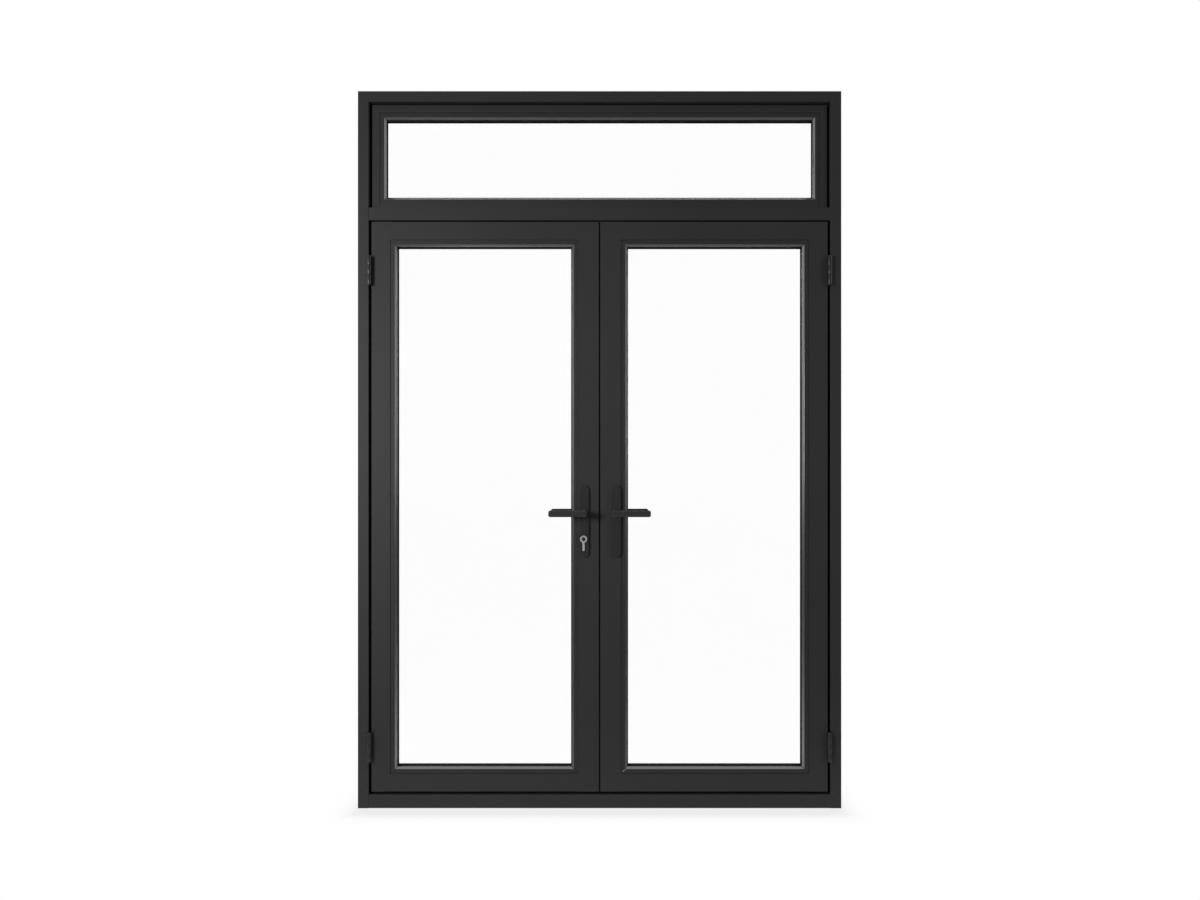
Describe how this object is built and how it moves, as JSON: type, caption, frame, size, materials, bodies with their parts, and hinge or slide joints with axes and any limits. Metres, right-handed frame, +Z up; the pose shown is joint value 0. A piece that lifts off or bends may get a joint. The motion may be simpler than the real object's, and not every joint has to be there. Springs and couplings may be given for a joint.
{
  "type": "french doors",
  "caption": "Matte black aluminium double doors in their own frame, with a fixed glazed light above, outward opening leaves, lever handles and sliding bolts.",
  "frame": {"origin": "centre of the sill's underside, on the floor", "axes": "+X to the right seen from outside, +Y into the building, +Z up"},
  "size_m": [1.645, 0.182, 2.44],
  "materials": {
    "coated_profile": "matte black powder coat",
    "coated_bead": "matte black powder coat",
    "handle_plate": "satin black",
    "lever": "satin black",
    "hinge": "satin black",
    "lock_steel": "zinc plated",
    "cylinder": "satin nickel",
    "plug": "satin nickel",
    "rubber": "black rubber",
    "spacer": "black anodised",
    "cap": "black nylon",
    "glass": "clear float glass"
  },
  "bodies": {
    "frame": {"left_jamb": "coated_profile", "right_jamb": "coated_profile", "head": "coated_profile", "sill": "coated_profile", "transom_bar": "coated_profile", "bolt_sockets": "lock_steel", "door_stop_seal": "rubber", "transom_left_stile": "coated_profile", "transom_right_stile": "coated_profile", "transom_top_rail": "coated_profile", "transom_bottom_rail": "coated_profile", "transom_beads": "coated_bead", "transom_gaskets": "rubber", "transom_panes": "glass", "transom_glass_spacer": "spacer", "left_frame_hinges": "hinge", "right_frame_hinges": "hinge", "left_hinge_pins": "hinge", "right_hinge_pins": "hinge"},
    "left_leaf": {"left_hinge_stile": "coated_profile", "left_lock_stile": "coated_profile", "left_bottom_rail": "coated_profile", "left_top_rail": "coated_profile", "left_beads": "coated_bead", "left_gaskets": "rubber", "left_panes": "glass", "left_glass_spacer": "spacer", "left_stile_caps": "cap", "left_meeting_seal": "rubber", "left_lock_case": "lock_steel", "left_outer_plate": "handle_plate", "left_inner_plate": "handle_plate", "left_leaf_hinges": "hinge", "left_cylinder": "cylinder"},
    "right_leaf": {"right_hinge_stile": "coated_profile", "right_lock_stile": "coated_profile", "right_bottom_rail": "coated_profile", "right_top_rail": "coated_profile", "right_beads": "coated_bead", "right_gaskets": "rubber", "right_panes": "glass", "right_glass_spacer": "spacer", "right_stile_caps": "cap", "right_meeting_seal": "rubber", "right_lock_case": "lock_steel", "right_outer_plate": "handle_plate", "right_inner_plate": "handle_plate", "right_leaf_hinges": "hinge"},
    "left_lever": {"left_outer_lever": "lever", "left_inner_lever": "lever", "left_spindle": "lock_steel"},
    "right_lever": {"right_outer_lever": "lever", "right_inner_lever": "lever", "right_spindle": "lock_steel"},
    "left_plug": {"left_cylinder_plug": "plug"},
    "left_centre_bolt": {"left_centre_bolt": "lock_steel"},
    "left_top_bolt": {"left_top_bolt": "lock_steel"},
    "left_bottom_bolt": {"left_bottom_bolt": "lock_steel"},
    "right_top_bolt": {"right_top_bolt": "lock_steel"},
    "right_bottom_bolt": {"right_bottom_bolt": "lock_steel"}
  },
  "joints": [
    {"name": "left_leaf_swing", "type": "hinge", "parent": "frame", "child": "left_leaf", "pos_m": [-0.7815, -0.0433, 1], "axis": [0, 0, -1], "range_deg": [0, 110]},
    {"name": "right_leaf_swing", "type": "hinge", "parent": "frame", "child": "right_leaf", "pos_m": [0.7815, -0.0433, 1], "axis": [0, 0, 1], "range_deg": [0, 110]},
    {"name": "left_lever_lift", "type": "hinge", "parent": "left_leaf", "child": "left_lever", "pos_m": [-0.05425, -0.006, 1.004], "axis": [0, 1, 0], "range_deg": [0, 45]},
    {"name": "right_lever_lift", "type": "hinge", "parent": "right_leaf", "child": "right_lever", "pos_m": [0.05425, -0.006, 1.004], "axis": [0, -1, 0], "range_deg": [0, 45]},
    {"name": "left_plug_turn", "type": "hinge", "parent": "left_leaf", "child": "left_plug", "pos_m": [-0.05425, -0.006, 0.916], "axis": [0, -1, 0], "range_deg": [0, 360]},
    {"name": "left_centre_bolt_throw", "type": "slide", "parent": "left_leaf", "child": "left_centre_bolt", "axis": [1, 0, 0], "range_m": [0, 0.02]},
    {"name": "left_top_bolt_throw", "type": "slide", "parent": "left_leaf", "child": "left_top_bolt", "axis": [0, 0, 1], "range_m": [0, 0.02]},
    {"name": "left_bottom_bolt_throw", "type": "slide", "parent": "left_leaf", "child": "left_bottom_bolt", "axis": [0, 0, -1], "range_m": [0, 0.02]},
    {"name": "right_top_bolt_throw", "type": "slide", "parent": "right_leaf", "child": "right_top_bolt", "axis": [0, 0, 1], "range_m": [0, 0.02]},
    {"name": "right_bottom_bolt_throw", "type": "slide", "parent": "right_leaf", "child": "right_bottom_bolt", "axis": [0, 0, -1], "range_m": [0, 0.02]}
  ],
  "couplings": [
    {"joint": "left_centre_bolt_throw", "follows": "left_lever_lift", "m_per_rad": 0.025465},
    {"joint": "left_top_bolt_throw", "follows": "left_lever_lift", "m_per_rad": 0.025465},
    {"joint": "left_bottom_bolt_throw", "follows": "left_lever_lift", "m_per_rad": 0.025465},
    {"joint": "right_top_bolt_throw", "follows": "right_lever_lift", "m_per_rad": 0.025465},
    {"joint": "right_bottom_bolt_throw", "follows": "right_lever_lift", "m_per_rad": 0.025465}
  ]
}
